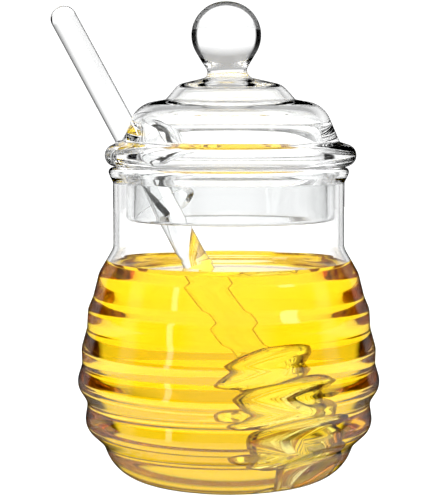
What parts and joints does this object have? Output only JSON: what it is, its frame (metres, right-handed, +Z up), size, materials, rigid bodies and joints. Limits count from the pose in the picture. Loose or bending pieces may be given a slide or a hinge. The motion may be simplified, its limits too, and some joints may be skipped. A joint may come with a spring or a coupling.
{
  "type": "honey pot",
  "caption": "Clear glass honey pot in swelling rings, filled with honey, with a ball-knob lid and a leaning glass dipper.",
  "frame": {"origin": "middle of the jar's foot, on the surface it stands on", "axes": "+Z up the jar's axis, -Y the front, +X to the right seen from the front; the dipper leans out to the back left"},
  "size_m": [0.0943, 0.0854, 0.1358],
  "materials": {
    "glass": "gloss",
    "honey": "gloss"
  },
  "bodies": {
    "root": {"jar": "glass", "lid": "glass", "dipper": "glass", "honey": "honey"}
  },
  "joints": []
}
